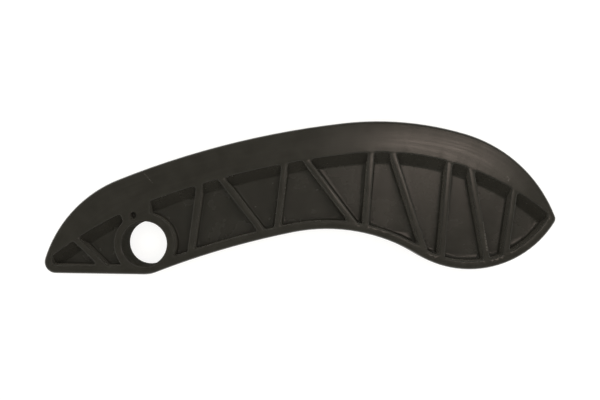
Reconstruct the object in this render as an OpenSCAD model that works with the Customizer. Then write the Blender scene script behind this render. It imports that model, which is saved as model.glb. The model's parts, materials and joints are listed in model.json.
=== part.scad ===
// Moulded guide rail for an engine timing chain, lying on its back face.
// The origin is the pivot axis on the back face.
// X runs along the rail, Y towards the chain, Z across the rail.
// The outline is a closed chain of tangent arcs.
// Drafted pockets on both sides leave a web, a rim, truss ribs and the sloping foot of the shoe.

/* [Rail] */
// Width of the rail across the chain
rail_w = 15; // [12:0.5:18]
// Thickness of the web between the pockets of the two sides
web_t = 3; // [2:0.1:4.5]
// Thickness of the rim along the back edge
rim_t = 2.6; // [2:0.1:3.2]
// Rounding of the outer edges
edge_r = 0.8; // [0.2:0.1:1.2]

/* [Pivot] */
// Diameter of the pivot bore
bore_d = 14; // [12:0.1:15.5]
// Wall of the boss round the bore
boss_wall = 2.6; // [2:0.1:3.2]
// Chamfer at each mouth of the bore
bore_chamfer = 0.5; // [0.2:0.1:1]
// Direction in which the pad between boss and shoe leaves the boss on the tail side
pad_tail_direction = 134.5; // [125:0.5:145]
// Lean of the pad's edge on the tail side
pad_tail_lean = 24; // [10:1:35]
// Direction in which the pad leaves the boss on the tip side
pad_tip_direction = 80.5; // [70:0.5:95]
// Diameter of the blind pin hole in the pad
pin_hole_d = 2.2; // [1.5:0.1:2.6]
// Depth of the blind pin hole
pin_hole_depth = 4; // [2:0.5:8]
// Direction of the pin hole from the pivot axis
pin_hole_direction = 112.5; // [105:0.5:120]

/* [Chain side] */
// Distance from the pivot axis back to the centre of the tail's radius
tail_back = 27.7; // [24:0.1:32]
// Radius of the tail
tail_r = 3.5; // [3:0.1:4]
// Radius of the lead-in next to the tail
lead_r = 39; // [33:0.5:45]
// Radius of the long run
run_r = 272; // [230:1:320]
// Radius of the crown
crown_r = 96; // [85:0.5:110]
// Radius of the run-out next to the tip
runout_r = 43; // [38:0.5:47]
// Distance from the pivot axis to the top of the crown, along the rail
crown_along = 73.9; // [68:0.1:80]
// Height of the top of the crown above the pivot axis
crown_above = 39.5; // [36:0.1:43]
// Direction, from the crown's centre, in which the crown meets the long run
crown_joint_direction = 97.3; // [93:0.1:101]

/* [Back edge] */
// Distance from the pivot axis to the centre of the belly, along the rail
belly_along = 101.3; // [96:0.1:107]
// Height of the belly's centre above the pivot axis
belly_above = 24.9; // [22:0.1:28]
// Radius of the belly, where the tensioner presses
belly_r = 31.3; // [28:0.1:34.5]
// Radius of the tip
tip_r = 2; // [1.6:0.1:2.6]
// Direction of the tip from the belly's centre
tip_direction = -31; // [-35:0.5:-27]
// Distance from the pivot axis to the centre of the saddle, along the rail
saddle_along = 57.8; // [53:0.1:63]
// Radius of the hollow saddle between boss and belly
saddle_r = 54; // [48:0.5:60]
// Radius of the shallow hollow between boss and saddle
approach_r = 260; // [210:1:310]

/* [Shoe] */
// Thickness of the shoe on the long run
shoe_t = 9.8; // [8.5:0.1:11]
// Thickness of the shoe where it reaches the tail
shoe_tail_t = 1.5; // [1:0.1:2.2]
// Thickness of the shoe where it reaches the tip
shoe_tip_t = 1.1; // [0.8:0.1:1.6]
// Radius of the shoe's underside towards the tail
shoe_tail_r = 114; // [95:1:135]
// Radius of the shoe's underside towards the tip
shoe_tip_r = 81.5; // [74:0.5:90]
// How much further the shoe reaches at the web than at its face
shoe_foot = 3.2; // [1:0.1:4]

/* [Ribs] */
// Thickness of a rib at its crest
rib_t = 1.9; // [1.4:0.1:2.4]
// Distance from the pivot axis back to the tail rib, at the shoe
tail_rib_back = 21.5; // [19:0.1:23]
// Lean of the tail rib from upright
tail_rib_lean = 47; // [40:1:52]
// Distance from the pivot axis to the first upright, at the shoe
first_upright = 16.9; // [15:0.1:19]
// Spacing of the uprights along the shoe, bay by bay
bay_pitch = [26.5, 27.1, 24.5, 20.4]; // [18:0.1:30]
// Lean of the first three uprights from upright
upright_lean = [-6.8, -5.6, -3.5]; // [-10:0.1:0]
// Lean of the last two uprights from upright
end_upright_lean = [-4, -7]; // [-10:0.1:0]
// Distance from an upright to the next brace, at the shoe
brace_gap = 6.6; // [5:0.1:8]
// Distance from the foot of a brace to the next upright, bay by bay
brace_foot_gap = [5, 3.8, 5.5, 5.8]; // [3:0.1:7]

/* [Pockets] */
// Draft of the pocket walls
draft = 1; // [0:0.5:2]
// Rounding at the mouth of a pocket
mouth_r = 0.4; // [0.2:0.1:0.6]
// Fillet round the floor of a pocket
floor_r = 0.8; // [0.3:0.1:1.2]
// Radius in the corners of a pocket
corner_r = 1; // [0.5:0.1:1.5]

/* [Hidden] */

// Largest distance between an arc and its chords, and the most that one chord may turn
chord_gap = 0.015;
chord_turn = 12;
// How far a cutter reaches past the face that it opens
overrun = 0.4;
// How far a straight side is drawn past its ends before it is trimmed
side_reach = 8;

boss_r = bore_d / 2 + boss_wall;
pocket_depth = (rail_w - web_t) / 2;

// Directions, and the point at given distances from two others
function ray(angle) = [cos(angle), sin(angle)];
function bearing(from, to) = atan2(to.y - from.y, to.x - from.x);
function left_of(v) = [-v.y, v.x] / norm(v);
function tangent_centre(p, p_gap, q, q_gap, side) =
    let (span = norm(q - p))
    let (near = (p_gap * p_gap - q_gap * q_gap + span * span) / (2 * span))
    let (off = sqrt(max(0, p_gap * p_gap - near * near)))
    p + (q - p) / span * near + side * off * left_of(q - p);

// Centres of the outline's arcs, each tangent to its neighbours
boss_c = [0, 0];
tail_c = [-tail_back, tail_r - boss_r];
crown_c = [crown_along, crown_above - crown_r];
run_c = crown_c + (crown_r - run_r) * ray(crown_joint_direction);
belly_c = [belly_along, belly_above];
tip_c = belly_c + (belly_r - tip_r) * ray(tip_direction);
lead_c = tangent_centre(run_c, run_r - lead_r, tail_c, lead_r - tail_r, -1);
runout_c = tangent_centre(crown_c, crown_r - runout_r, tip_c, runout_r - tip_r, 1);
saddle_drop = sqrt((saddle_r + belly_r) ^ 2 - (saddle_along - belly_along) ^ 2);
saddle_c = [saddle_along, belly_above - saddle_drop];
approach_c = tangent_centre(saddle_c, approach_r - saddle_r, boss_c, approach_r + boss_r, 1);

whole_length = tip_c.x + tip_r + tail_back + tail_r;

// Centres of the shoe's underside, which runs beside the long run and closes on the tail and the tip
under_r = run_r - shoe_t;
under_tail_gap = shoe_tail_r - tail_r + shoe_tail_t;
under_tail_c = tangent_centre(run_c, under_r - shoe_tail_r, tail_c, under_tail_gap, -1);
under_tip_gap = shoe_tip_r - tip_r + shoe_tip_t;
under_tip_c = tangent_centre(run_c, under_r - shoe_tip_r, tip_c, under_tip_gap, 1);

// Points of an arc whose radius is changed by grow. Their number depends on the drawn radius alone.
function arc(centre, r, from, to, grow = 0) =
    let (turn = min(chord_turn, 2 * acos(1 - chord_gap / r)))
    let (steps = max(1, ceil(abs(to - from) / turn)))
    [for (i = [0 : steps]) centre + (r + grow) * ray(from + (to - from) * i / steps)];

// Joins runs of points and leaves out the first point of each run after the first
function joined(runs) =
    [for (k = [0 : len(runs) - 1]) for (i = [k == 0 ? 0 : 1 : len(runs[k]) - 1]) runs[k][i]];

// The chain side from tail to tip, moved inwards by inset
function chain_side(inset) =
    let (tail_end = bearing(lead_c, tail_c))
    let (lead_end = bearing(run_c, lead_c))
    let (crown_end = bearing(crown_c, runout_c))
    let (runout_end = bearing(runout_c, tip_c))
    joined([
        arc(tail_c, tail_r, 270, tail_end, -inset),
        arc(lead_c, lead_r, tail_end, lead_end, -inset),
        arc(run_c, run_r, lead_end, crown_joint_direction, -inset),
        arc(crown_c, crown_r, crown_joint_direction, crown_end, -inset),
        arc(runout_c, runout_r, crown_end, runout_end, -inset),
        arc(tip_c, tip_r, runout_end, tip_direction, -inset)
    ]);

// The back edge from the tip to the flat under the tail, moved inwards by inset
function back_edge(inset) =
    let (belly_end = bearing(belly_c, saddle_c))
    let (saddle_end = bearing(approach_c, saddle_c))
    let (approach_end = bearing(approach_c, boss_c))
    joined([
        arc(belly_c, belly_r, tip_direction, belly_end, -inset),
        arc(saddle_c, saddle_r, belly_end + 180, saddle_end, inset),
        arc(approach_c, approach_r, saddle_end, approach_end, inset),
        arc(boss_c, boss_r, approach_end - 180, -90, -inset),
        [[0, inset - boss_r], [-tail_back, inset - boss_r]]
    ]);

// The closed outline, anticlockwise
function outline(inset) =
    let (round_trip = joined([chain_side(inset), back_edge(inset)]))
    [for (i = [len(round_trip) - 1 : -1 : 1]) round_trip[i]];

// The sides of a pocket. Each is an open line of points, moved into the pocket by d.
function shoe_side(d) =
    let (tail_joint = bearing(run_c, under_tail_c))
    let (tip_joint = bearing(run_c, under_tip_c))
    joined([
        arc(under_tail_c, shoe_tail_r, tail_joint + 40, tail_joint, -d),
        arc(run_c, under_r, tail_joint, tip_joint, -d),
        arc(under_tip_c, shoe_tip_r, tip_joint, tip_joint - 75, -d)
    ]);
function rim_side(d) =
    let (edge = back_edge(rim_t + d))
    let (last = edge[len(edge) - 1])
    joined([arc(belly_c, belly_r, tip_direction + 40, tip_direction, -rim_t - d), edge,
        [last, last - [side_reach, 0]]]);
function boss_side(d) = arc(boss_c, boss_r, -90, 270, d);
function straight_side(from, to, d) =
    let (along = (to - from) / norm(to - from))
    let (shift = -d * left_of(along))
    [from - side_reach * along + shift, to + side_reach * along + shift];

// Where line p, beyond its position after, first meets line q: the positions on both
function crossing(p, q, after = 0) =
    [for (i = [floor(after) : len(p) - 2]) for (j = [0 : len(q) - 2])
        let (pv = p[i + 1] - p[i])
        let (qv = q[j + 1] - q[j])
        let (w = cross(pv, qv))
        if (abs(w) > 1e-9)
        let (u = cross(q[j] - p[i], qv) / w)
        let (v = cross(q[j] - p[i], pv) / w)
        if (u >= 0 && u <= 1 && v >= 0 && v <= 1 && i + u > after + 1e-6)
        [i + u, j + v]][0];
function at_position(p, t) =
    let (i = min(floor(t), len(p) - 2))
    p[i] + (p[i + 1] - p[i]) * (t - i);
function trimmed(p, from, to) =
    [at_position(p, from), for (i = [floor(from) + 1 : ceil(to) - 1]) p[i], at_position(p, to)];
function point_above(p, x) = at_position(p, crossing(p, [[x, -whole_length], [x, whole_length]])[0]);

// The ribs, each from the shoe to the rim: the tail rib, then uprights and braces in turn
function foot_below(top, lean) =
    let (rim = rim_side(0))
    at_position(rim, crossing(rim, [top, top + whole_length * ray(lean - 90)])[0]);
function leaning_rib(x, lean) =
    let (top = point_above(shoe_side(0), x))
    [top, foot_below(top, lean)];
function sum_to(v, n) = n == 0 ? 0 : v[n - 1] + sum_to(v, n - 1);
all_leans = concat(upright_lean, end_upright_lean);
uprights = [for (k = [0 : len(all_leans) - 1])
    leaning_rib(first_upright + sum_to(bay_pitch, k), all_leans[k])];
braces = [for (k = [0 : len(bay_pitch) - 1]) [
    point_above(shoe_side(0), uprights[k][0].x + brace_gap),
    point_above(rim_side(0), uprights[k + 1][1].x - brace_foot_gap[k])
]];
ribs = concat(
    [leaning_rib(-tail_rib_back, tail_rib_lean)],
    [for (k = [0 : len(braces) - 1]) each [uprights[k], braces[k]]],
    [uprights[len(uprights) - 1]]
);

// The faces that bound a pocket, walked with the pocket on the right
function rib_up(k, d) = straight_side(ribs[k][1], ribs[k][0], d + rib_t / 2);
function rib_down(k, d) = straight_side(ribs[k][0], ribs[k][1], d + rib_t / 2);
function pad_down(d) =
    let (low = boss_r * ray(pad_tail_direction))
    straight_side(low + ray(90 + pad_tail_lean), low, d);
function pad_up(d) =
    let (low = boss_r * ray(pad_tip_direction))
    straight_side(low, low + ray(90), d);
function tail_wall(d) =
    let (x = tail_c.x - tail_r + rim_t)
    straight_side([x, tail_c.y], [x, tail_c.y + tail_r], d);
function tip_wall(d) =
    let (x = tip_c.x + tip_r - rim_t)
    straight_side([x, tip_c.y + tip_r], [x, tip_c.y], d);

// A pocket's sides in order, starting with a rib, each with the number of chords that it keeps
last_rib = len(ribs) - 1;
last_pocket = last_rib + 2;
function pocket_sides(k, d) =
    k == 0 ? [[rib_down(0, d), 1], [rim_side(d), 1], [tail_wall(d), 1], [shoe_side(d), 3]] :
    k == 1 ? [[rib_up(0, d), 1], [shoe_side(d), 4], [pad_down(d), 1], [boss_side(d), 9], [rim_side(d), 1]] :
    k == 2 ? [[rib_down(1, d), 1], [rim_side(d), 3], [boss_side(d), 9], [pad_up(d), 1], [shoe_side(d), 4]] :
    k == last_pocket ? [[rib_up(last_rib, d), 1], [shoe_side(d), 4], [tip_wall(d), 1], [rim_side(d), 5]] :
    [[rib_up(k - 2, d), 1], [shoe_side(d), 4], [rib_down(k - 1, d), 1], [rim_side(d), 5]];

// The corners of a pocket: for each side, its own position and the next side's position there
function corners(sides, k = 0, after = 0) =
    k == len(sides) ? [] :
    let (hit = crossing(sides[k][0], sides[(k + 1) % len(sides)][0], after))
    concat([hit], corners(sides, k + 1, hit[1]));

// Evenly spaced points on a line, with a length cut off at each end
function travel(p) =
    [for (i = 0, s = 0; i < len(p); s = s + (i < len(p) - 1 ? norm(p[i + 1] - p[i]) : 0), i = i + 1) s];
function at_distance(p, far, s) =
    let (k = max([0, for (i = [0 : len(p) - 2]) if (far[i] <= s) i]))
    p[k] + (p[k + 1] - p[k]) * (s - far[k]) / (far[k + 1] - far[k]);
function spaced(p, steps, cut_start, cut_end) =
    let (far = travel(p))
    let (whole = far[len(p) - 1])
    [for (i = [0 : steps]) at_distance(p, far, cut_start + (whole - cut_start - cut_end) * i / steps)];

// Length that the corner radius takes from the two sides that meet there
function corner_cut(p, q) =
    let (back = p[len(p) - 2] - p[len(p) - 1])
    let (ahead = q[1] - q[0])
    let (half = acos(max(-1, min(1, back * ahead / norm(back) / norm(ahead)))) / 2)
    let (shorter = min(travel(p)[len(p) - 1], travel(q)[len(q) - 1]))
    min(corner_r / tan(half), 0.4 * shorter);
corner_steps = 3;
function corner_arc(from, corner, to) =
    [for (i = [1 : corner_steps - 1]) let (t = i / corner_steps)
        (1 - t) ^ 2 * from + 2 * t * (1 - t) * corner + t ^ 2 * to];

// The edge of a pocket, moved inwards by d, anticlockwise
function pocket_edge(k, d) =
    let (sides = pocket_sides(k, d))
    let (count = len(sides))
    let (hits = corners(sides))
    let (runs = [for (i = [0 : count - 1])
        trimmed(sides[i][0], hits[(i + count - 1) % count][1], hits[i][0])])
    let (cuts = [for (i = [0 : count - 1]) corner_cut(runs[i], runs[(i + 1) % count])])
    let (kept = [for (i = [0 : count - 1])
        spaced(runs[i], sides[i][1], cuts[(i + count - 1) % count], cuts[i])])
    let (clockwise = [for (i = [0 : count - 1])
        let (run = kept[i])
        let (next = kept[(i + 1) % count])
        let (corner = runs[i][len(runs[i]) - 1])
        each concat(run, corner_arc(run[len(run) - 1], corner, next[0]))])
    [for (i = [len(clockwise) - 1 : -1 : 0]) clockwise[i]];

// Triangles that fill a flat, anticlockwise outline: corners are cut off one by one
function is_ear(p, list, k) =
    let (n = len(list))
    let (a = p[list[(k + n - 1) % n]])
    let (b = p[list[k]])
    let (c = p[list[(k + 1) % n]])
    cross(b - a, c - b) > 0 &&
    len([for (i = list)
        let (q = p[i])
        if (q != a && q != b && q != c && cross(b - a, q - a) >= 0
            && cross(c - b, q - b) >= 0 && cross(a - c, q - c) >= 0) i]) == 0;
function first_ear(p, list, k = 0) = k >= len(list) || is_ear(p, list, k) ? k : first_ear(p, list, k + 1);
function fill(p, list) =
    len(list) == 3 ? [list] :
    let (n = len(list))
    let (k = first_ear(p, list) % n)
    let (ear = [list[(k + n - 1) % n], list[k], list[(k + 1) % n]])
    concat([ear], fill(p, [for (i = [1 : n - 1]) list[(k + i) % n]]));

// A closed solid through level rings of points that lie one above another
module loft(rings, levels) {
    n = len(rings[0]);
    top = len(rings) - 1;
    floor_faces = fill(rings[0], [for (i = [0 : n - 1]) i]);
    roof_faces = fill(rings[top], [for (i = [0 : n - 1]) i]);
    polyhedron(
        points = [for (k = [0 : top]) for (p = rings[k]) [p.x, p.y, levels[k]]],
        faces = concat(
            floor_faces,
            [for (k = [0 : top - 1]) for (i = [0 : n - 1])
                let (j = (i + 1) % n)
                [k * n + i, k * n + n + i, k * n + n + j, k * n + j]],
            [for (f = roof_faces) [top * n + f[2], top * n + f[1], top * n + f[0]]]
        ),
        convexity = 10
    );
}

// Insets and levels of a quarter round drawn as two chords
quarter = 1 - cos(45);

// The outline across the whole width, with its edges rounded
module blank() {
    insets = [edge_r, quarter * edge_r, 0, 0, quarter * edge_r, edge_r];
    rise = [0, quarter * edge_r, edge_r];
    loft([for (d = insets) outline(d)], concat(rise, [for (i = [2 : -1 : 0]) rail_w - rise[i]]));
}

// The space of one pocket, open at the front: filleted floor, drafted wall, rounded mouth
module pocket(k) {
    deepest = rail_w - pocket_depth;
    foot_d = (pocket_depth - mouth_r - floor_r) * tan(draft);
    flare = overrun / tan(22.5);
    insets = [
        foot_d + floor_r,
        foot_d + quarter * floor_r,
        foot_d,
        0,
        -quarter * mouth_r,
        -mouth_r - flare * mouth_r
    ];
    levels = [
        deepest,
        deepest + quarter * floor_r,
        deepest + floor_r,
        rail_w - mouth_r,
        rail_w - quarter * mouth_r,
        rail_w + overrun * mouth_r
    ];
    loft([for (d = insets) pocket_edge(k, d)], levels);
}

// A profile of insets and levels, carried along the shoe's underside
module along_shoe(profile) {
    rows = [for (p = profile) [for (q = shoe_side(p[0])) [q.x, q.y, p[1]]]];
    m = len(rows);
    n = len(rows[0]);
    polyhedron(
        points = [for (row = rows) each row],
        faces = concat(
            [[for (k = [m - 1 : -1 : 0]) k * n]],
            [for (k = [0 : m - 1]) for (i = [0 : n - 2])
                let (j = (k + 1) % m)
                [k * n + i, j * n + i, j * n + i + 1, k * n + i + 1]],
            [[for (k = [0 : m - 1]) k * n + n - 1]]
        ),
        convexity = 10
    );
}

// The sloping foot of the shoe: it starts below the mouth of a pocket and runs into the floor with a fillet
module shoe_slope() {
    deepest = rail_w - pocket_depth;
    land = 2 * mouth_r;
    slope = shoe_foot / (pocket_depth - land);
    lean = atan(slope);
    half_turn = (90 - lean) / 2;
    run = floor_r * tan(half_turn);
    fillet = [
        [shoe_foot + run, deepest],
        [shoe_foot + run - floor_r * sin(half_turn), deepest + floor_r * (1 - cos(half_turn))],
        [shoe_foot - run * sin(lean), deepest + run * cos(lean)]
    ];
    top = [-slope * (land - mouth_r), rail_w - mouth_r];
    inner = top.x - overrun;
    along_shoe([
        [inner, deepest - overrun],
        fillet[0] + overrun * (fillet[0] - fillet[1]),
        fillet[1],
        fillet[2],
        top,
        [inner, top.y]
    ]);
}

// All pockets of one side, with the shoe's foot left standing in them
module pockets() {
    difference() {
        for (k = [0 : last_pocket]) pocket(k);
        shoe_slope();
    }
}

// The pivot bore with its chamfered mouths
module pivot_bore() {
    bore_r = bore_d / 2;
    wide = bore_r + bore_chamfer + overrun;
    rotate_extrude($fn = 96)
    polygon([
        [0, -overrun],
        [wide, -overrun],
        [bore_r, bore_chamfer],
        [bore_r, rail_w - bore_chamfer],
        [wide, rail_w + overrun],
        [0, rail_w + overrun]
    ]);
}

// The blind pin hole in the front of the pad, on the boss's own radius
module pin_hole() {
    centre = boss_r * ray(pin_hole_direction);
    translate([centre.x, centre.y, rail_w - pin_hole_depth])
    cylinder(d = pin_hole_d, h = pin_hole_depth + overrun, $fn = 48);
}

module guide_rail() {
    color([0.16, 0.15, 0.14])
    difference() {
        blank();
        pockets();
        translate([0, 0, rail_w]) mirror([0, 0, 1]) pockets();
        pivot_bore();
        pin_hole();
    }
}

guide_rail();
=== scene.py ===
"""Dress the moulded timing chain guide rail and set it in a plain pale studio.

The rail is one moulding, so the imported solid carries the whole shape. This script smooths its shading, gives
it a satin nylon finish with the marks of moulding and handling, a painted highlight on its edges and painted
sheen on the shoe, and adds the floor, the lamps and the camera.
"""

import json
import logging
import math
from dataclasses import dataclass, field
from enum import Enum
from typing import ClassVar, Union

import bpy
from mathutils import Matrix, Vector


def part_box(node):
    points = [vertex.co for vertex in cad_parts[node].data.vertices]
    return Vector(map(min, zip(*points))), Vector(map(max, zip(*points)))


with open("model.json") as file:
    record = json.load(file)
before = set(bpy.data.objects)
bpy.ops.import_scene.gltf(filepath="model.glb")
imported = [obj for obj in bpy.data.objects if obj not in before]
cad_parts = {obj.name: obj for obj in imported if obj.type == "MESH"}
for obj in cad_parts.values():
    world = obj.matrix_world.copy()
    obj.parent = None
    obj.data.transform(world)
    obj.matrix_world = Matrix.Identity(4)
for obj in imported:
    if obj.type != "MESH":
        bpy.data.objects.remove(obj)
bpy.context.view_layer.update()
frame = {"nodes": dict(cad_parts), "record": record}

LOG = logging.getLogger("guide_rail")
MM_PER_METRE = 1000.0

Colour = tuple[float, float, float]
Point = tuple[float, float, float]
Span = tuple[float, float]
Outlet = bpy.types.NodeSocket
Outlets = bpy.types.NodeOutputs
Inlets = bpy.types.NodeInputs
Feed = Union[Outlet, bpy.types.Material, float, tuple]


def metres(millimetres: float) -> float:
    """Return a length in metres, given in millimetres."""
    return millimetres / MM_PER_METRE


class Socket(Enum):
    """Kinds of socket that a node group can have."""

    VALUE = "NodeSocketFloat"
    VECTOR = "NodeSocketVector"
    MESH = "NodeSocketGeometry"


class Graph:
    """A node tree with short calls that add, feed and join its nodes."""

    MIX_A: ClassVar[int] = 6
    MIX_B: ClassVar[int] = 7
    MIX_RESULT: ClassVar[int] = 2
    NODE_STEP: ClassVar[tuple[int, int]] = (190, -160)
    NODE_ROWS: ClassVar[int] = 4

    def __init__(self, tree: bpy.types.NodeTree) -> None:
        """Keep the tree and start at its left edge.

        Args:
            tree: The node tree that the calls add to.
        """
        self.tree = tree
        self.column = 0

    def add(self, kind: str, **settings: object) -> bpy.types.Node:
        """Add a node and set its properties.

        Args:
            kind: Blender's name of the node type.
            settings: Properties of the node, by name.

        Returns:
            The new node.
        """
        node = self.tree.nodes.new(kind)
        across, down = self.NODE_STEP
        node.location = (self.column * across, self.column % self.NODE_ROWS * down)
        self.column += 1
        for name, value in settings.items():
            setattr(node, name, value)
        return node

    def feed(self, socket: bpy.types.NodeSocket, value: Feed) -> None:
        """Link a socket to another one, or set its own value.

        Args:
            socket: The input socket.
            value: An output socket, a number, a colour, a vector or a material.
        """
        if isinstance(value, bpy.types.NodeSocket):
            self.tree.links.new(value, socket)
        elif isinstance(value, tuple) and socket.type == "RGBA":
            socket.default_value = (*value[:3], 1.0)
        else:
            socket.default_value = value

    def fill(self, node: bpy.types.Node, wanted: dict[str, Feed]) -> bpy.types.Node:
        """Feed several inputs of a node.

        Args:
            node: The node.
            wanted: What its inputs take, by name.

        Returns:
            The node.
        """
        for name, value in wanted.items():
            self.feed(node.inputs[name], value)
        return node

    def math(self, operation: str, *values: Feed, clamp: bool = False) -> Outlet:
        """Return the result of a Math node.

        Args:
            operation: The node's operation.
            values: What its inputs take, in order.
            clamp: Whether the result is held between 0 and 1.

        Returns:
            The node's output.
        """
        node = self.add("ShaderNodeMath", operation=operation, use_clamp=clamp)
        for socket, value in zip(node.inputs, values):
            self.feed(socket, value)
        return node.outputs[0]

    def plus(self, base: Feed, value: Feed, times: Feed) -> Outlet:
        """Return a base with a multiple of a value added to it."""
        return self.math("ADD", base, self.math("MULTIPLY", value, times))

    def vector(self, operation: str, *values: Feed) -> bpy.types.Node:
        """Add a Vector Math node.

        Args:
            operation: The node's operation.
            values: What its inputs take, in order.

        Returns:
            The node, whose outputs are Vector and Value.
        """
        node = self.add("ShaderNodeVectorMath", operation=operation)
        for socket, value in zip(node.inputs, values):
            self.feed(socket, value)
        return node

    def spread(
        self, value: Feed, low: Feed, high: Feed, to_low: Feed = 0.0, to_high: Feed = 1.0
    ) -> Outlet:
        """Map a value smoothly from one range to another.

        Args:
            value: The value to map.
            low: Where the first range starts.
            high: Where the first range ends.
            to_low: What low becomes.
            to_high: What high becomes.

        Returns:
            The mapped value, held inside the second range.
        """
        node = self.add("ShaderNodeMapRange", interpolation_type="SMOOTHSTEP")
        limits = {"From Min": low, "From Max": high, "To Min": to_low, "To Max": to_high}
        return self.fill(node, {"Value": value, **limits}).outputs["Result"]

    def noise(self, place: Feed, scale: Feed, detail: float, rough: float) -> Outlet:
        """Read a Noise Texture.

        Args:
            place: Where the noise is read.
            scale: Number of features to a unit.
            detail: Number of octaves.
            rough: Weight of the finer octaves.

        Returns:
            The noise value, about 0.5 on average.
        """
        node = self.add("ShaderNodeTexNoise", noise_dimensions="3D")
        self.fill(node, {"Vector": place, "Scale": scale, "Detail": detail, "Roughness": rough})
        return node.outputs[0]

    def blend(self, share: Feed, first: Feed, second: Feed) -> Outlet:
        """Mix two colours.

        Args:
            share: How much of the second colour shows.
            first: The first colour.
            second: The second colour.

        Returns:
            The mixed colour.
        """
        node = self.add("ShaderNodeMix", data_type="RGBA")
        self.feed(node.inputs[0], share)
        self.feed(node.inputs[self.MIX_A], first)
        self.feed(node.inputs[self.MIX_B], second)
        return node.outputs[self.MIX_RESULT]

    def parts(self, place: Feed) -> Outlets:
        """Split a place into X, Y and Z.

        Args:
            place: The place.

        Returns:
            The outputs of a Separate XYZ node.
        """
        node = self.add("ShaderNodeSeparateXYZ")
        self.feed(node.inputs[0], place)
        return node.outputs

    def millimetres(self) -> Outlet:
        """Return the place on the object, in millimetres."""
        place = self.add("ShaderNodeTexCoord").outputs["Object"]
        return self.vector("MULTIPLY", place, (MM_PER_METRE,) * 3).outputs[0]

    def bump(self, height: Feed) -> Outlet:
        """Turn a height into a normal.

        Args:
            height: Height of the surface, in millimetres.

        Returns:
            The normal.
        """
        node = self.add("ShaderNodeBump")
        self.fill(node, {"Height": height, "Strength": 1.0, "Distance": metres(1.0)})
        return node.outputs["Normal"]

    def surface(self, shader: bpy.types.Node) -> None:
        """Make a shader the surface of the material."""
        output = self.add("ShaderNodeOutputMaterial")
        self.feed(output.inputs["Surface"], shader.outputs[0])


def empty_material(name: str) -> tuple[bpy.types.Material, Graph]:
    """Start a material without nodes.

    Args:
        name: Name of the material.

    Returns:
        The material and the graph of its nodes.
    """
    material = bpy.data.materials.new(name)
    material.use_nodes = True
    material.node_tree.nodes.clear()
    return material, Graph(material.node_tree)


def mesh_graph(name: str) -> tuple[Graph, bpy.types.NodeSocket, bpy.types.NodeSocket]:
    """Start a geometry node tree that takes a mesh and gives a mesh.

    Args:
        name: Name of the tree.

    Returns:
        The graph of its nodes, the socket that brings the mesh and the socket that takes the result.
    """
    tree = bpy.data.node_groups.new(name, "GeometryNodeTree")
    for way in ("INPUT", "OUTPUT"):
        tree.interface.new_socket("Mesh", in_out=way, socket_type=Socket.MESH.value)
    graph = Graph(tree)
    start = graph.add("NodeGroupInput")
    end = graph.add("NodeGroupOutput")
    return graph, start.outputs["Mesh"], end.inputs["Mesh"]


class Effect:
    """A shader node group that is made once and then placed in materials."""

    name: ClassVar[str] = ""
    takes: ClassVar[dict[str, Socket]] = {}
    gives: ClassVar[dict[str, Socket]] = {}

    def wire(self, graph: Graph, given: Outlets, result: Inlets) -> None:
        """Join the group's own nodes.

        Args:
            graph: The group's tree.
            given: The sockets that bring the group's inputs.
            result: The sockets that take the group's outputs.
        """
        raise NotImplementedError

    def tree(self) -> bpy.types.NodeTree:
        """Find the group's tree, and make it the first time.

        Returns:
            The tree.
        """
        known = bpy.data.node_groups.get(self.name)
        if known:
            return known
        made = bpy.data.node_groups.new(self.name, "ShaderNodeTree")
        for name, kind in self.takes.items():
            made.interface.new_socket(name, in_out="INPUT", socket_type=kind.value)
        for name, kind in self.gives.items():
            made.interface.new_socket(name, in_out="OUTPUT", socket_type=kind.value)
        graph = Graph(made)
        start = graph.add("NodeGroupInput")
        end = graph.add("NodeGroupOutput")
        self.wire(graph, start.outputs, end.inputs)
        return made

    def place(self, graph: Graph, **values: Feed) -> Outlets:
        """Place the group in a material.

        Args:
            graph: The material's tree.
            values: What the group's inputs take, by name.

        Returns:
            The group's outputs.
        """
        node = graph.add("ShaderNodeGroup", node_tree=self.tree(), label=self.name)
        return graph.fill(node, values).outputs


@dataclass(frozen=True)
class Arc:
    """One arc of the chain side, in millimetres.

    Attributes:
        centre: Centre of the arc.
        radius: Radius of the arc.
        ends_at: Distance along the rail at which the next arc takes over.
    """

    centre: tuple[float, float]
    radius: float
    ends_at: float


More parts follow.
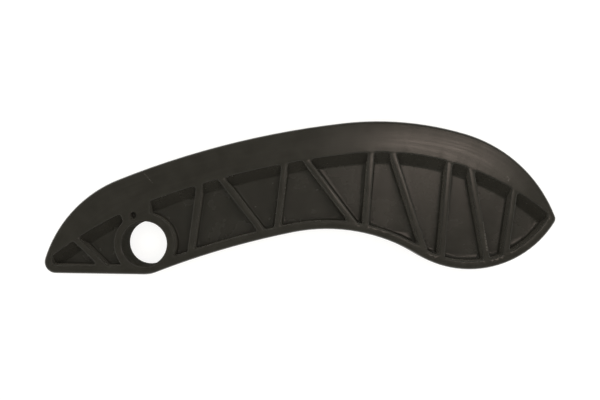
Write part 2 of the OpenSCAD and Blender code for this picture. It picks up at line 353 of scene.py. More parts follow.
@dataclass(frozen=True)
class ChainSide:
    """The tangent arcs of the edge that the chain runs on, in millimetres from the pivot axis.

    Attributes:
        boss_r: Radius of the pivot boss, whose lowest point is level with the tail.
        tail_back: Distance of the tail's centre behind the pivot.
        tail_r: Radius of the tail.
        lead_r: Radius of the lead-in.
        run_r: Radius of the long run.
        crown_r: Radius of the crown.
        runout_r: Radius of the run-out.
        crown_along: Distance of the crown along the rail.
        crown_above: Height of the crown.
        crown_joint_deg: Direction in which the run meets the crown, seen from the crown's centre.
        belly_along: Distance of the belly's centre along the rail.
        belly_above: Height of the belly's centre.
        belly_r: Radius of the belly.
        tip_r: Radius of the tip.
        tip_deg: Direction of the tip, seen from the belly's centre.
        shoe_t: Depth of the shoe.
    """

    boss_r: float = 9.6
    tail_back: float = 27.7
    tail_r: float = 3.5
    lead_r: float = 39.0
    run_r: float = 272.0
    crown_r: float = 96.0
    runout_r: float = 43.0
    crown_along: float = 73.9
    crown_above: float = 39.5
    crown_joint_deg: float = 97.3
    belly_along: float = 101.3
    belly_above: float = 24.9
    belly_r: float = 31.3
    tip_r: float = 2.0
    tip_deg: float = -31.0
    shoe_t: float = 9.8

    @staticmethod
    def ray(degrees: float, length: float) -> Vector:
        """Return the step of a given length in a given direction."""
        angle = math.radians(degrees)
        return Vector((math.cos(angle), math.sin(angle))) * length

    @staticmethod
    def tangent_centre(p: Vector, p_gap: float, q: Vector, q_gap: float, side: int) -> Vector:
        """Find the point at given distances from two others.

        Args:
            p: The first point.
            p_gap: Distance from the first point.
            q: The second point.
            q_gap: Distance from the second point.
            side: 1 for the point left of the way from p to q, -1 for the one right of it.

        Returns:
            The point.
        """
        span = (q - p).length
        ahead = (q - p) / span
        near = (p_gap ** 2 - q_gap ** 2 + span ** 2) / (2 * span)
        off = math.sqrt(max(0.0, p_gap ** 2 - near ** 2))
        return p + ahead * near + Vector((-ahead.y, ahead.x)) * off * side

    def arcs(self) -> list[Arc]:
        """Work out the arcs from the lead-in to the run-out.

        Returns:
            The arcs, from tail to tip.
        """
        tail = Vector((-self.tail_back, self.tail_r - self.boss_r))
        crown = Vector((self.crown_along, self.crown_above - self.crown_r))
        run = crown + self.ray(self.crown_joint_deg, self.crown_r - self.run_r)
        belly = Vector((self.belly_along, self.belly_above))
        tip = belly + self.ray(self.tip_deg, self.belly_r - self.tip_r)
        lead = self.tangent_centre(run, self.run_r - self.lead_r, tail, self.lead_r - self.tail_r, -1)
        runout = self.tangent_centre(crown, self.crown_r - self.runout_r, tip, self.runout_r - self.tip_r, 1)
        lead_end = run + (lead - run).normalized() * self.run_r
        run_end = crown + self.ray(self.crown_joint_deg, self.crown_r)
        crown_end = crown + (runout - crown).normalized() * self.crown_r
        return [
            Arc(tuple(lead), self.lead_r, lead_end.x),
            Arc(tuple(run), self.run_r, run_end.x),
            Arc(tuple(crown), self.crown_r, crown_end.x),
            Arc(tuple(runout), self.runout_r, math.inf),
        ]


class AlongTheRail(Effect):
    """Turns a place into a distance along the rail and a depth below its chain side, both in millimetres."""

    name = "along_the_rail"
    takes = {"Place": Socket.VECTOR}
    gives = {"Along": Socket.VALUE, "Depth": Socket.VALUE, "Across": Socket.VALUE}

    def __init__(self, side: ChainSide) -> None:
        """Keep the chain side whose arcs the group follows.

        Args:
            side: The chain side.
        """
        self.side = side

    def wire(self, graph: Graph, given: Outlets, result: Inlets) -> None:
        """Measure the depth below each arc, and keep the one that holds at this distance along the rail.

        Args:
            graph: The group's tree.
            given: The sockets that bring the group's inputs.
            result: The sockets that take the group's outputs.
        """
        parts = graph.parts(given["Place"])
        flat = graph.vector("MULTIPLY", given["Place"], (1.0, 1.0, 0.0)).outputs[0]
        depth: Feed = 0.0
        start = -math.inf
        for arc in self.side.arcs():
            reach = graph.vector("DISTANCE", flat, (*arc.centre, 0.0)).outputs["Value"]
            below = graph.math("SUBTRACT", arc.radius, reach)
            if start > -math.inf:
                passed = graph.math("GREATER_THAN", parts["X"], start)
                below = graph.plus(depth, graph.math("SUBTRACT", below, depth), passed)
            depth = below
            start = arc.ends_at
        graph.feed(result["Along"], parts["X"])
        graph.feed(result["Depth"], depth)
        graph.feed(result["Across"], parts["Z"])


class MouldGrain(Effect):
    """The fine grain of a spark-eroded mould and the slow mottle of the melt."""

    name = "mould_grain"
    takes = {"Place": Socket.VECTOR, "Grains": Socket.VALUE}
    gives = {"Height": Socket.VALUE, "Mottle": Socket.VALUE}
    mottles_per_mm: ClassVar[float] = 0.16
    mottle_span: ClassVar[Span] = (0.3, 0.7)

    def wire(self, graph: Graph, given: Outlets, result: Inlets) -> None:
        """Read a fine noise for the height and a coarse one for the mottle.

        Args:
            graph: The group's tree.
            given: The sockets that bring the group's inputs.
            result: The sockets that take the group's outputs.
        """
        fine = graph.noise(given["Place"], given["Grains"], detail=4.0, rough=0.62)
        coarse = graph.noise(given["Place"], self.mottles_per_mm, detail=3.0, rough=0.55)
        graph.feed(result["Height"], fine)
        graph.feed(result["Mottle"], graph.spread(coarse, *self.mottle_span))


class FlowStreaks(Effect):
    """Fine streaks that run lengthwise, as the melt and the polishing stone left them."""

    name = "flow_streaks"
    takes = {"Along": Socket.VALUE, "Depth": Socket.VALUE, "Across": Socket.VALUE,
             "Length": Socket.VALUE, "Spacing": Socket.VALUE}
    gives = {"Streak": Socket.VALUE}

    def wire(self, graph: Graph, given: Outlets, result: Inlets) -> None:
        """Read a noise in a space that is squeezed along the rail.

        Args:
            graph: The group's tree.
            given: The sockets that bring the group's inputs.
            result: The sockets that take the group's outputs.
        """
        place = graph.add("ShaderNodeCombineXYZ")
        sizes = (("Along", "Length"), ("Depth", "Spacing"), ("Across", "Spacing"))
        for socket, (way, size) in zip(place.inputs, sizes):
            graph.feed(socket, graph.math("DIVIDE", given[way], given[size]))
        graph.feed(result["Streak"], graph.noise(place.outputs[0], 1.0, detail=3.0, rough=0.6))


class NearFace(Effect):
    """Finds places that have another face close by, and breaks the find up into patches.

    Attributes:
        inside: Whether the other face is looked for through the material.
        samples: Number of directions to look in.
        near_span: Shares of hidden directions at which the find starts and is whole.
        patches_per_mm: Number of patches to a millimetre.
        patch_detail: Number of octaves in the patches.
        patch_rough: Weight of the finer octaves.
        patch_span: Noise values at which a patch starts and is whole.
        patch_low: What is left between the patches.
    """

    takes = {"Place": Socket.VECTOR, "Reach": Socket.VALUE}
    gives = {"Mask": Socket.VALUE}
    inside: ClassVar[bool] = False
    samples: ClassVar[int] = 8
    near_span: ClassVar[Span]
    patches_per_mm: ClassVar[float]
    patch_detail: ClassVar[float]
    patch_rough: ClassVar[float]
    patch_span: ClassVar[Span]
    patch_low: ClassVar[float] = 0.0

    def wire(self, graph: Graph, given: Outlets, result: Inlets) -> None:
        """Count the directions in which a face is close, and break the find up with a noise.

        Args:
            graph: The group's tree.
            given: The sockets that bring the group's inputs.
            result: The sockets that take the group's outputs.
        """
        look = graph.add("ShaderNodeAmbientOcclusion", inside=self.inside, samples=self.samples)
        look.only_local = True
        graph.feed(look.inputs["Distance"], given["Reach"])
        near = graph.math("SUBTRACT", 1.0, look.outputs["AO"])
        patches = graph.noise(given["Place"], self.patches_per_mm, self.patch_detail, self.patch_rough)
        broken = graph.spread(patches, *self.patch_span, self.patch_low, 1.0)
        graph.feed(result["Mask"], graph.math("MULTIPLY", graph.spread(near, *self.near_span), broken))


class EdgeWearAndHighlight(NearFace):
    """Finds ribs and outer edges, worn smoother and paler by handling and parting, and painted paler still as
    a highlight.
    """

    name = "edge_wear_and_highlight"
    inside = True
    near_span = (0.45, 0.85)
    patches_per_mm = 0.9
    patch_detail = 4.0
    patch_rough = 0.6
    patch_span = (0.3, 0.75)
    patch_low = 0.35


class CornerDust(NearFace):
    """Finds the inner corners, where a little pale dust stays."""

    name = "corner_dust"
    near_span = (0.35, 0.8)
    patches_per_mm = 0.7
    patch_detail = 5.0
    patch_rough = 0.65
    patch_span = (0.42, 0.72)


class RubAndSheenStroke(Effect):
    """One pale stroke along a straight line, broken up along its length: a rub mark, or a stroke of painted
    sheen.
    """

    name = "rub_and_sheen_stroke"
    takes = {"Place": Socket.VECTOR, "Start": Socket.VECTOR, "End": Socket.VECTOR, "Width": Socket.VALUE}
    gives = {"Mark": Socket.VALUE}
    fade_span: ClassVar[Span] = (1.0, 0.25)
    frays_per_mm: ClassVar[float] = 2.2
    fray_span: ClassVar[Span] = (0.36, 0.6)

    def wire(self, graph: Graph, given: Outlets, result: Inlets) -> None:
        """Measure the distance from the line between the two ends, and fray it with a noise.

        Args:
            graph: The group's tree.
            given: The sockets that bring the group's inputs.
            result: The sockets that take the group's outputs.
        """
        line = graph.vector("SUBTRACT", given["End"], given["Start"]).outputs[0]
        offset = graph.vector("SUBTRACT", given["Place"], given["Start"]).outputs[0]
        square = graph.vector("DOT_PRODUCT", line, line).outputs["Value"]
        along = graph.vector("DOT_PRODUCT", offset, line).outputs["Value"]
        nearest = graph.add("ShaderNodeVectorMath", operation="SCALE")
        graph.feed(nearest.inputs[0], line)
        graph.feed(nearest.inputs["Scale"], graph.math("DIVIDE", along, square, clamp=True))
        reach = graph.vector("DISTANCE", offset, nearest.outputs[0]).outputs["Value"]
        close = graph.spread(graph.math("DIVIDE", reach, given["Width"]), *self.fade_span)
        frays = graph.noise(given["Place"], self.frays_per_mm, detail=4.0, rough=0.7)
        graph.feed(result["Mark"], graph.math("MULTIPLY", close, graph.spread(frays, *self.fray_span)))


class Specks(Effect):
    """Scattered pale specks of lint and chalked resin."""

    name = "specks"
    takes = {"Place": Socket.VECTOR, "Spacing": Socket.VALUE, "Size": Socket.VALUE}
    gives = {"Speck": Socket.VALUE}
    kept_above: ClassVar[float] = 0.72

    def wire(self, graph: Graph, given: Outlets, result: Inlets) -> None:
        """Keep the middle of some cells of a Voronoi pattern.

        Args:
            graph: The group's tree.
            given: The sockets that bring the group's inputs.
            result: The sockets that take the group's outputs.
        """
        cells = graph.add("ShaderNodeTexVoronoi", feature="F1")
        graph.fill(cells, {"Vector": given["Place"], "Scale": graph.math("DIVIDE", 1.0, given["Spacing"])})
        lot = graph.add("ShaderNodeSeparateColor")
        graph.feed(lot.inputs[0], cells.outputs["Color"])
        radius = graph.math("MULTIPLY", given["Size"], lot.outputs[0])
        inside = graph.math("LESS_THAN", cells.outputs["Distance"], radius)
        kept = graph.math("GREATER_THAN", lot.outputs[1], self.kept_above)
        graph.feed(result["Speck"], graph.math("MULTIPLY", inside, kept))


@dataclass(frozen=True)
class RubAndSheenMark:
    """A pale stroke on the front of the rail, in millimetres: a rub mark, or a stroke of painted sheen.

    Attributes:
        start: Where the mark starts.
        end: Where the mark ends.
        width: Reach of the mark to either side.
        strength: How much of the pale colour shows in it.
    """

    start: Point
    end: Point
    width: float
    strength: float


@dataclass(frozen=True)
class NylonMasks:
    """Where the marks of moulding and handling, the painted edge highlight and the painted sheen lie, as
    values over the surface.

    Attributes:
        face: The two side faces.
        streak: The streaks on the side faces.
        grain: Height of the grain.
        mottle: The paler stretches of the melt.
        edge: The polished edges.
        dust: The dusty corners.
        rubs_and_painted_sheen: The rub marks and specks.
        crown: Height of the shoe's crown, in millimetres.
    """

    face: Outlet
    streak: Outlet
    grain: Outlet
    mottle: Outlet
    edge: Outlet
    dust: Outlet
    # rubbed: The rub marks, the specks and the strokes of painted sheen.
    rubs_and_painted_sheen: Outlet
    crown: Outlet


@dataclass(frozen=True)
class MouldedNylon:
    """Near-black satin nylon, as it leaves the mould, with a painted highlight on its edges and painted sheen
    on the shoe.

    Attributes:
        name: Name of the material.
        colour: Colour of the plastic.
        mottled: Its colour where the melt is paler.
        pale: Colour of rub marks, chalked places and streaks, and of the painted edge highlight and painted
            sheen.
        dust: Colour of dust.
        film: Colour of the fine haze that shows at a low angle.
        film_share: Strength of that haze.
        film_rough: Softness of that haze.
        ior: Refractive index of the plastic.
        face_rough: Roughness of the smooth side faces.
        pocket_rough: Roughness of the eroded pockets.
        face_band: Depths below a side face, in millimetres, at which its finish starts and is whole.
        grains_per_mm: Number of grains to a millimetre.
        grain_mm: Height of the grain.
        mottle_rough: How far the mottle changes the roughness, up and down.
        streak_length_mm: Length of a streak.
        streak_spacing_mm: Distance between streaks.
        streak_span: Noise values at which a streak starts and is whole.
        streak_mm: Height of the streaks.
        streak_share: How much of the pale colour shows in the streaks.
        streak_gloss: How much smoother the streaks are.
        edge_reach_mm: How far from an edge its wear and painted highlight reach.
        edge_share: How much of the pale colour shows on the edges, as wear and painted highlight.
        edge_gloss: How much smoother the edges are.
        dust_reach_mm: How far from a wall dust lies.
        dust_share: How much of the dust's colour shows.
        speck_spacing_mm: Size of the cells that hold a speck.
        speck_size: Largest radius of a speck, as a share of its cell.
        speck_share: How much of the pale colour shows in a speck.
        rub_and_sheen_rough: How much rougher the rubbed places are.
        crown_mm: Height of the crown that cooling leaves on the shoe's face.
        crown_from: Distances along the rail at which the crown starts and is whole, in millimetres.
        crown_to: Distances along the rail at which the crown begins to fade and is gone, in millimetres.
        marks: The rub marks, and two broad faint strokes of painted sheen on the lower shoe and the tip.
    """

    name: str = "moulded_nylon"
    colour: Colour = (0.0162, 0.0156, 0.0132)
    mottled: Colour = (0.0200, 0.0193, 0.0165)
    pale: Colour = (0.090, 0.084, 0.076)
    dust: Colour = (0.10, 0.095, 0.085)
    film: Colour = (1.0, 0.96, 0.86)
    film_share: float = 0.08
    film_rough: float = 0.5
    ior: float = 1.53
    face_rough: float = 0.24
    pocket_rough: float = 0.265
    face_band: Span = (0.9, 0.3)
    grains_per_mm: float = 3.2
    grain_mm: float = 0.004
    mottle_rough: float = 0.012
    streak_length_mm: float = 22.0
    streak_spacing_mm: float = 1.0
    streak_span: Span = (0.35, 0.7)
    streak_mm: float = 0.0016
    streak_share: float = 0.03
    streak_gloss: float = 0.05
    edge_reach_mm: float = 1.3
    edge_share: float = 0.12
    edge_gloss: float = 0.04
    dust_reach_mm: float = 2.5
    dust_share: float = 0.03
    speck_spacing_mm: float = 5.5
    speck_size: float = 0.035
    speck_share: float = 0.3
    # rub_and_sheen_rough: How much rougher the rub marks, specks and strokes of painted sheen are.
    rub_and_sheen_rough: float = 0.2
    crown_mm: float = 0.017
    crown_from: Span = (15.0, 35.0)
    crown_to: Span = (102.0, 118.0)
    marks: tuple[RubAndSheenMark, ...] = (
        RubAndSheenMark((-0.5, 22.1, 15.0), (2.3, 19.1, 15.0), 0.22, 0.28),
        RubAndSheenMark((105.9, 8.4, 15.0), (107.0, -0.2, 15.0), 0.5, 0.55),
        RubAndSheenMark((113.0, 22.6, 15.0), (113.4, 21.8, 15.0), 0.8, 0.4),
        # The next two marks are broad, faint strokes of painted sheen along the lower shoe and the tip, not
        # rubs.
        RubAndSheenMark((97.0, 29.0, 15.0), (113.0, 22.5, 15.0), 3.2, 0.10),
        RubAndSheenMark((113.0, 22.5, 15.0), (122.0, 12.0, 15.0), 3.0, 0.06),
    )

    def crown(self, graph: Graph, rail: Outlets, side: ChainSide) -> Outlet:
        """Find the height of the shoe's face, which cooling leaves very slightly crowned.

        Args:
            graph: The material's tree.
            rail: Outputs of the group that measures along the rail.
            side: The chain side.

        Returns:
            The height, in millimetres.
        """
        middle = side.shoe_t / 2
        depth = graph.math("MINIMUM", graph.math("MAXIMUM", rail["Depth"], 0.0), side.shoe_t)
        off = graph.math("DIVIDE", graph.math("SUBTRACT", depth, middle), middle)
        fall = graph.math("MULTIPLY", graph.math("MULTIPLY", off, off), -self.crown_mm)
        begun = graph.spread(rail["Along"], *self.crown_from)
        left = graph.spread(rail["Along"], *self.crown_to, 1.0, 0.0)
        return graph.math("MULTIPLY", fall, graph.math("MULTIPLY", begun, left))

    def rubs_and_painted_sheen(self, graph: Graph, place: Outlet) -> Outlet:
        """Find the specks, the rub marks and the strokes of painted sheen.

        Args:
            graph: The material's tree.
            place: Place on the rail, in millimetres.

        Returns:
            How much of the pale colour shows there.
        """
        specks = Specks().place(graph, Place=place, Spacing=self.speck_spacing_mm, Size=self.speck_size)
        most = graph.math("MULTIPLY", specks["Speck"], self.speck_share)
        # Among the marks are broad strokes of painted sheen as well as rubs.
        for mark in self.marks:
            rub_and_sheen_stroke = RubAndSheenStroke().place(graph, Place=place, Start=mark.start, End=mark.end, Width=mark.width)
            most = graph.math("MAXIMUM", most, graph.math("MULTIPLY", rub_and_sheen_stroke["Mark"], mark.strength))
        return most

    def masks(self, graph: Graph, side: ChainSide, width: float) -> NylonMasks:
        """Find where the marks of moulding and handling, the painted edge highlight and the painted sheen lie.

        Args:
            graph: The material's tree.
            side: The chain side that the streaks follow.
            width: Width of the rail, in millimetres.

        Returns:
            The masks.
        """
        place = graph.millimetres()
        rail = AlongTheRail(side).place(graph, Place=place)
        from_middle = graph.math("ABSOLUTE", graph.math("SUBTRACT", rail["Across"], width / 2))
        face = graph.spread(from_middle, *(width / 2 - depth for depth in self.face_band))
        streak = FlowStreaks().place(graph, Along=rail["Along"], Depth=rail["Depth"], Across=rail["Across"],
                                     Length=self.streak_length_mm, Spacing=self.streak_spacing_mm)
        grain = MouldGrain().place(graph, Place=place, Grains=self.grains_per_mm)
        return NylonMasks(
            face=face,
            streak=graph.math("MULTIPLY", graph.spread(streak["Streak"], *self.streak_span), face),
            grain=grain["Height"],
            mottle=grain["Mottle"],
            # The edge mask makes the edges paler: partly wear, partly a painted highlight on the crests.
            edge=EdgeWearAndHighlight().place(graph, Place=place, Reach=metres(self.edge_reach_mm))["Mask"],
            dust=CornerDust().place(graph, Place=place, Reach=metres(self.dust_reach_mm))["Mask"],
            rubs_and_painted_sheen=self.rubs_and_painted_sheen(graph, place),
            crown=self.crown(graph, rail, side),
        )

    def painted(self, graph: Graph, masks: NylonMasks) -> Outlet:
        """Lay the paler marks, the painted edge highlight and the painted sheen over the plastic's own colour.

        Args:
            graph: The material's tree.
            masks: Where the marks lie.

        Returns:
            The colour.
        """
        colour = graph.blend(masks.mottle, self.colour, self.mottled)
        layers = (
            (masks.streak, self.streak_share, self.pale),
            # Paler edges: partly wear, partly a painted highlight on the crests.
            (masks.edge, self.edge_share, self.pale),
            (masks.dust, self.dust_share, self.dust),
        )
        for mask, share, paint in layers:
            colour = graph.blend(graph.math("MULTIPLY", mask, share), colour, paint)
        # This mask holds the rub marks, the specks and the strokes of painted sheen.
        return graph.blend(masks.rubs_and_painted_sheen, colour, self.pale)

    def roughness(self, graph: Graph, masks: NylonMasks) -> Outlet:
        """Work out the roughness from the marks.

        Args:
            graph: The material's tree.
            masks: Where the marks lie.

        Returns:
            The roughness.
        """
        rough = graph.spread(masks.face, 0.0, 1.0, self.pocket_rough, self.face_rough)
        rough = graph.plus(rough, masks.streak, -self.streak_gloss)
        wander = graph.spread(masks.mottle, 0.0, 1.0, -self.mottle_rough, self.mottle_rough)
        rough = graph.math("ADD", rough, wander)
        rough = graph.plus(rough, masks.rubs_and_painted_sheen, self.rub_and_sheen_rough)
        return graph.plus(rough, masks.edge, -self.edge_gloss)

    def height(self, graph: Graph, masks: NylonMasks) -> Outlet:
        """Add up the heights of grain, streaks and crown.

        Args:
            graph: The material's tree.
            masks: Where the marks lie.

        Returns:
            The height, in millimetres.
        """
        height = graph.math("MULTIPLY", masks.grain, self.grain_mm)
        height = graph.plus(height, masks.streak, self.streak_mm)
        return graph.plus(height, masks.crown, masks.face)

    def make(self, side: ChainSide, width: float) -> bpy.types.Material:
        """Make the material.

        Args:
            side: The chain side that the streaks follow.
            width: Width of the rail, in millimetres.

        Returns:
            The material.
        """
        material, graph = empty_material(self.name)
        masks = self.masks(graph, side, width)
        shader = graph.add("ShaderNodeBsdfPrincipled")
        graph.fill(shader, {
            "Base Color": self.painted(graph, masks),
            "Roughness": self.roughness(graph, masks),
            "Normal": graph.bump(self.height(graph, masks)),
            "IOR": self.ior,
            "Sheen Tint": self.film,
            "Sheen Weight": self.film_share,
            "Sheen Roughness": self.film_rough,
        })
        graph.surface(shader)
        return material


@dataclass(frozen=True)
class CoredBore:
    """The wall of the pivot bore, dull and streaked along its axis as the core pin leaves it.

    Attributes:
        name: Name of the material.
        colour: Colour of the plastic.
        mottled: Its colour where the melt is paler.
        rough: Roughness of the wall.
        rough_play: How far the streaks change the roughness, up and down.
        shine: How much the wall mirrors, where 0.5 is usual.
        grains_per_mm: Number of grains to a millimetre.
        streak_length_mm: Length of a streak.
        streak_spacing_mm: Distance between streaks.
        streak_span: Noise values between which the roughness changes.
        streak_mm: Height of the streaks.
    """

    name: str = "cored_bore"
    colour: Colour = (0.044, 0.042, 0.034)
    mottled: Colour = (0.056, 0.053, 0.043)
    rough: float = 0.8
    rough_play: float = 0.08
    shine: float = 0.012
    grains_per_mm: float = 3.2
    streak_length_mm: float = 9.0
    streak_spacing_mm: float = 0.4
    streak_span: Span = (0.3, 0.7)
    streak_mm: float = 0.012

    def make(self, bore_r: float) -> bpy.types.Material:
        """Make the material.

        Args:
            bore_r: Radius of the bore, in millimetres.

        Returns:
            The material.
        """
        material, graph = empty_material(self.name)
        place = graph.millimetres()
        parts = graph.parts(place)
        round_the_wall = graph.math("MULTIPLY", graph.math("ARCTAN2", parts["Y"], parts["X"]), bore_r)
        streaks = FlowStreaks().place(graph, Along=parts["Z"], Depth=round_the_wall, Across=0.0,
                                      Length=self.streak_length_mm, Spacing=self.streak_spacing_mm)
        streak = streaks["Streak"]
        grain = MouldGrain().place(graph, Place=place, Grains=self.grains_per_mm)
        smoothest = self.rough - self.rough_play
        roughest = self.rough + self.rough_play
        shader = graph.add("ShaderNodeBsdfPrincipled")
        graph.fill(shader, {
            "Base Color": graph.blend(grain["Mottle"], self.colour, self.mottled),
            "Roughness": graph.spread(streak, *self.streak_span, smoothest, roughest),
            "Normal": graph.bump(graph.math("MULTIPLY", streak, self.streak_mm)),
            "Specular IOR Level": self.shine,
        })
        graph.surface(shader)
        return material


@dataclass(frozen=True)
class PaleFloor:
    """A pale studio sheet that looks white and still takes a soft shadow.

    Attributes:
        name: Name of the material.
        colour: Colour of the sheet in the light that it throws on the rail.
        glow: Its own brightness, as seen directly or in a reflection.
        shadow_share: How much of the light on it is seen besides, so that shadows show.
    """

    name: str = "pale_floor"
    colour: Colour = (0.80, 0.80, 0.80)
    glow: float = 0.82
    shadow_share: float = 0.26

    def make(self) -> bpy.types.Material:
        """Make the material.

        Returns:
            The material.
        """
        material, graph = empty_material(self.name)
        path = graph.add("ShaderNodeLightPath")
        lit = graph.add("ShaderNodeBsdfDiffuse")
        graph.feed(lit.inputs["Color"], self.colour)
        faint = graph.add("ShaderNodeBsdfDiffuse")
        graph.feed(faint.inputs["Color"], (self.shadow_share,) * 3)
        glow = graph.add("ShaderNodeEmission")
        graph.feed(glow.inputs["Strength"], self.glow)
        both = graph.add("ShaderNodeAddShader")
        graph.feed(both.inputs[0], faint.outputs[0])
        graph.feed(both.inputs[1], glow.outputs[0])
        shown = graph.math("MAXIMUM", path.outputs["Is Camera Ray"], path.outputs["Is Glossy Ray"])
        shown = graph.math("MAXIMUM", shown, path.outputs["Is Transmission Ray"])
        choice = graph.add("ShaderNodeMixShader")
        graph.feed(choice.inputs[0], shown)
        graph.feed(choice.inputs[1], lit.outputs[0])
        graph.feed(choice.inputs[2], both.outputs[0])
        graph.surface(choice)
        return material


@dataclass
class GuideRail:
    """The moulded rail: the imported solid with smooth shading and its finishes.

    Attributes:
        node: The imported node.
        bore: The mount whose radius is the bore's.
        bore_play_mm: How far past the bore's radius a face still belongs to its wall.
        sharp_deg: Angle above which an edge stays sharp.
        weld_mm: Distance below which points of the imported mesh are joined.
        normal_weight: How much larger faces count in the shading of a round.
        side: The chain side.
        finish: Finish of the moulding.
        bore_finish: Finish of the bore's wall.
    """

    node: str = "guide_rail"
    bore: str = "pivot_bore"
    bore_play_mm: float = 0.05
    sharp_deg: float = 50.0
    weld_mm: float = 0.002
    normal_weight: int = 90
    side: ChainSide = field(default_factory=ChainSide)
    finish: MouldedNylon = field(default_factory=MouldedNylon)
    bore_finish: CoredBore = field(default_factory=CoredBore)

    def width(self) -> float:
        """Return the width of the rail, in millimetres."""
        low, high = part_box(self.node)
        return (high[2] - low[2]) * MM_PER_METRE

    def bore_r(self) -> float:
        """Return the radius of the pivot bore, in millimetres."""
        return next(m["dims"]["r_mm"] for m in frame["record"]["mounts"] if m["name"] == self.bore)

    def smoothing(self) -> bpy.types.NodeTree:
        """Make the node tree that shades a mesh smooth, apart from its sharp edges.

        Returns:
            The geometry node tree.
        """
        graph, mesh, result = mesh_graph("smooth_shading")
        angle = graph.add("GeometryNodeInputMeshEdgeAngle").outputs["Unsigned Angle"]
        blunt = graph.add("FunctionNodeCompare", data_type="FLOAT", operation="LESS_EQUAL")
        graph.fill(blunt, {"A": angle, "B": math.radians(self.sharp_deg)})
        edges = graph.add("GeometryNodeSetShadeSmooth", domain="EDGE")
        graph.fill(edges, {"Geometry": mesh, "Shade Smooth": blunt.outputs["Result"]})
        faces = graph.add("GeometryNodeSetShadeSmooth", domain="FACE")
        graph.feed(faces.inputs["Geometry"], edges.outputs["Geometry"])
        graph.feed(result, faces.outputs["Geometry"])
        return graph.tree

    def bore_dressing(self, wall: bpy.types.Material) -> bpy.types.NodeTree:
        """Make the node tree that gives the faces of the bore a finish of their own.

        Args:
            wall: The finish of the bore's wall.

        Returns:
            The geometry node tree.
        """
        graph, mesh, result = mesh_graph("bore_dressing")
        place = graph.add("GeometryNodeInputPosition").outputs[0]
        from_axis = graph.vector("MULTIPLY", place, (1.0, 1.0, 0.0)).outputs[0]
        reach = graph.vector("LENGTH", from_axis).outputs["Value"]
        inside = graph.add("FunctionNodeCompare", data_type="FLOAT", operation="LESS_THAN")
        graph.fill(inside, {"A": reach, "B": metres(self.bore_r() + self.bore_play_mm)})
        dressed = graph.add("GeometryNodeSetMaterial")
        graph.fill(dressed, {"Geometry": mesh, "Selection": inside.outputs["Result"], "Material": wall})
        graph.feed(result, dressed.outputs["Geometry"])
        return graph.tree

    def smooth(self, rail: bpy.types.Object) -> None:
        """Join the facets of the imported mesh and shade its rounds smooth.

        Args:
            rail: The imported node.
        """
        weld = rail.modifiers.new("weld", "WELD")
        weld.merge_threshold = metres(self.weld_mm)
        shade = rail.modifiers.new("smooth", "NODES")
        shade.node_group = self.smoothing()
        normals = rail.modifiers.new("normals", "WEIGHTED_NORMAL")
        normals.keep_sharp = True
        normals.mode = "FACE_AREA"
        normals.weight = self.normal_weight

    def dress(self, rail: bpy.types.Object) -> None:
        """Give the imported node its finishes.

        Args:
            rail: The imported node.
        """
        wall = self.bore_finish.make(self.bore_r())
        rail.data.materials.clear()
        rail.data.materials.append(self.finish.make(self.side, self.width()))
        rail.data.materials.append(wall)
        inside = rail.modifiers.new("bore", "NODES")
        inside.node_group = self.bore_dressing(wall)

    def build(self) -> bpy.types.Object:
        """Smooth and dress the rail.

        Returns:
            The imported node.
        """
        rail = frame["nodes"][self.node]
        self.smooth(rail)
        self.dress(rail)
        return rail


class LampShape(Enum):
    """Outlines of a studio lamp."""

    ROUND = "DISK"
    OBLONG = "RECTANGLE"


@dataclass(frozen=True)
class Lamp:
    """A soft studio lamp that shines straight down, in metres and watts.

    Attributes:
        name: Name of the lamp.
        over: The point of the floor that it hangs over.
        height: Its height above the floor.
        size: Its length and depth, which are the same for a round lamp.
        power: Its power.
        colour: Colour of its light.
        shape: Its outline.
        reflected: Whether it is seen in reflections.
    """

    name: str
    over: tuple[float, float]
    height: float
    size: tuple[float, float]
    power: float
    colour: Colour
    shape: LampShape = LampShape.OBLONG
    reflected: bool = True

    def light(self) -> bpy.types.Object:
        """Hang the lamp.

        Returns:
            The lamp.
        """
        data = bpy.data.lights.new(self.name, "AREA")
        data.shape = self.shape.value
        data.size = self.size[0]
        if self.shape is LampShape.OBLONG:
            data.size_y = self.size[1]
        data.energy = self.power
        data.color = self.colour
        lamp = bpy.data.objects.new(self.name, data)
        lamp.location = (*self.over, self.height)
        lamp.visible_glossy = self.reflected
        bpy.context.scene.collection.objects.link(lamp)
        return lamp


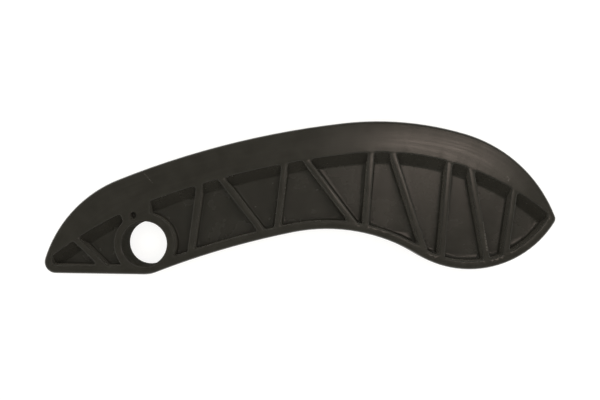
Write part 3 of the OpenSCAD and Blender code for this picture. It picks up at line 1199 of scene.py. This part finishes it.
@dataclass
class Studio:
    """The floor, the cove round it, the lamps, the room light and the camera, in metres.

    Attributes:
        aim: The point of the rail's front that the camera looks at.
        camera_height: Height of the camera above that point.
        camera_lens: Focal length of the camera, in millimetres.
        camera_sensor: Width of its sensor, in millimetres.
        camera_turn_deg: Turn of the camera about its own axis.
        camera_clip: Nearest and farthest distance that it sees.
        cove_r: Radius of the floor with its round backdrop.
        cove_height: Height of the backdrop.
        cove_bend: Radius of the bend between floor and backdrop.
        cove_steps: Number of steps in the bend.
        cove_sides: Number of sides of the round.
        floor: Finish of floor and backdrop.
        ceiling_level: Brightness of the room straight above.
        wall_level: Brightness of the room's walls.
        wall_top: Height, from 0 to 1, above which the walls fade into the ceiling.
        room_colour: Colour of the room's light.
        lamps: The lamps.
    """

    aim: Point = (0.0484, 0.01445, 0.015)
    camera_height: float = 0.2965
    camera_lens: float = 57.0
    camera_sensor: float = 36.0
    camera_turn_deg: float = 0.9
    camera_clip: Span = (0.01, 20.0)
    cove_r: float = 1.6
    cove_height: float = 0.5
    cove_bend: float = 0.4
    cove_steps: int = 8
    cove_sides: int = 96
    floor: PaleFloor = field(default_factory=PaleFloor)
    ceiling_level: float = 0.06
    wall_level: float = 0.28
    wall_top: float = 0.55
    room_colour: Colour = (1.0, 0.97, 0.86)
    lamps: tuple[Lamp, ...] = (
        Lamp("flash", (0.1365, 0.0505), 0.3115, (0.076, 0.032), 0.0292, (1.0, 0.81, 0.70)),
        Lamp("diffuser", (0.1345, 0.0505), 0.3120, (0.150, 0.036), 0.0105, (1.0, 0.90, 0.80)),
        Lamp("fill", (0.0484, 0.0145), 1.1, (1.2, 1.2), 14.8, (1.0, 0.955, 0.865), LampShape.ROUND,
             reflected=False),
    )

    def cove_rings(self) -> list[tuple[float, float]]:
        """Work out the section of the sheet, from the edge of the flat floor to the top of the backdrop.

        Returns:
            Radius and height of each ring.
        """
        rings = []
        for step in range(self.cove_steps + 1):
            angle = math.pi / 2 * step / self.cove_steps
            inwards = self.cove_bend * (1.0 - math.sin(angle))
            upwards = self.cove_bend * (1.0 - math.cos(angle))
            rings.append((self.cove_r - inwards, upwards))
        return [*rings, (self.cove_r, self.cove_height)]

    def cove(self) -> bpy.types.Object:
        """Make the floor and its round backdrop in one sheet.

        Returns:
            The sheet.
        """
        rings = self.cove_rings()
        middle = Vector((self.aim[0], self.aim[1], 0.0))
        points = [middle]
        for radius, height in rings:
            for side in range(self.cove_sides):
                angle = math.tau * side / self.cove_sides
                points.append(middle + Vector((radius * math.cos(angle), radius * math.sin(angle), height)))
        faces: list[tuple[int, ...]] = []
        for side in range(self.cove_sides):
            after = (side + 1) % self.cove_sides
            faces.append((0, 1 + side, 1 + after))
            for ring in range(len(rings) - 1):
                low = 1 + ring * self.cove_sides
                high = low + self.cove_sides
                faces.append((low + side, high + side, high + after, low + after))
        mesh = bpy.data.meshes.new("floor")
        mesh.from_pydata(points, [], faces)
        mesh.shade_smooth()
        mesh.materials.append(self.floor.make())
        floor = bpy.data.objects.new("floor", mesh)
        bpy.context.scene.collection.objects.link(floor)
        return floor

    def room(self) -> None:
        """Set the soft light of the room, with brighter walls and a dim ceiling."""
        world = bpy.data.worlds.new("room")
        world.use_nodes = True
        world.node_tree.nodes.clear()
        graph = Graph(world.node_tree)
        upwards = graph.parts(graph.add("ShaderNodeTexCoord").outputs["Generated"])["Z"]
        level = graph.spread(upwards, self.wall_top, 1.0, self.wall_level, self.ceiling_level)
        background = graph.add("ShaderNodeBackground")
        graph.fill(background, {"Color": self.room_colour, "Strength": level})
        output = graph.add("ShaderNodeOutputWorld")
        graph.feed(output.inputs["Surface"], background.outputs[0])
        bpy.context.scene.world = world

    def camera(self) -> bpy.types.Object:
        """Hang the camera straight above the rail.

        Returns:
            The camera, which is the scene's own.
        """
        data = bpy.data.cameras.new("camera")
        data.sensor_fit = "HORIZONTAL"
        data.sensor_width = self.camera_sensor
        data.lens = self.camera_lens
        data.clip_start, data.clip_end = self.camera_clip
        camera = bpy.data.objects.new("camera", data)
        camera.location = Vector(self.aim) + Vector((0.0, 0.0, self.camera_height))
        camera.rotation_euler = (0.0, 0.0, math.radians(self.camera_turn_deg))
        bpy.context.scene.collection.objects.link(camera)
        bpy.context.scene.camera = camera
        return camera

    def build(self) -> list[bpy.types.Object]:
        """Set up the whole studio.

        Returns:
            The camera, the floor and the lamps.
        """
        bpy.context.scene.view_settings.view_transform = "Standard"
        self.room()
        return [self.camera(), self.cove(), *(lamp.light() for lamp in self.lamps)]


def main() -> None:
    """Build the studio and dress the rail."""
    for piece in Studio().build():
        LOG.info("%s: set up", piece.name)
    rail = GuideRail()
    LOG.info("%s: dressed in %s and %s", rail.build().name, rail.finish.name, rail.bore_finish.name)


if __name__ == "__main__":
    logging.basicConfig(level=logging.INFO)
    main()
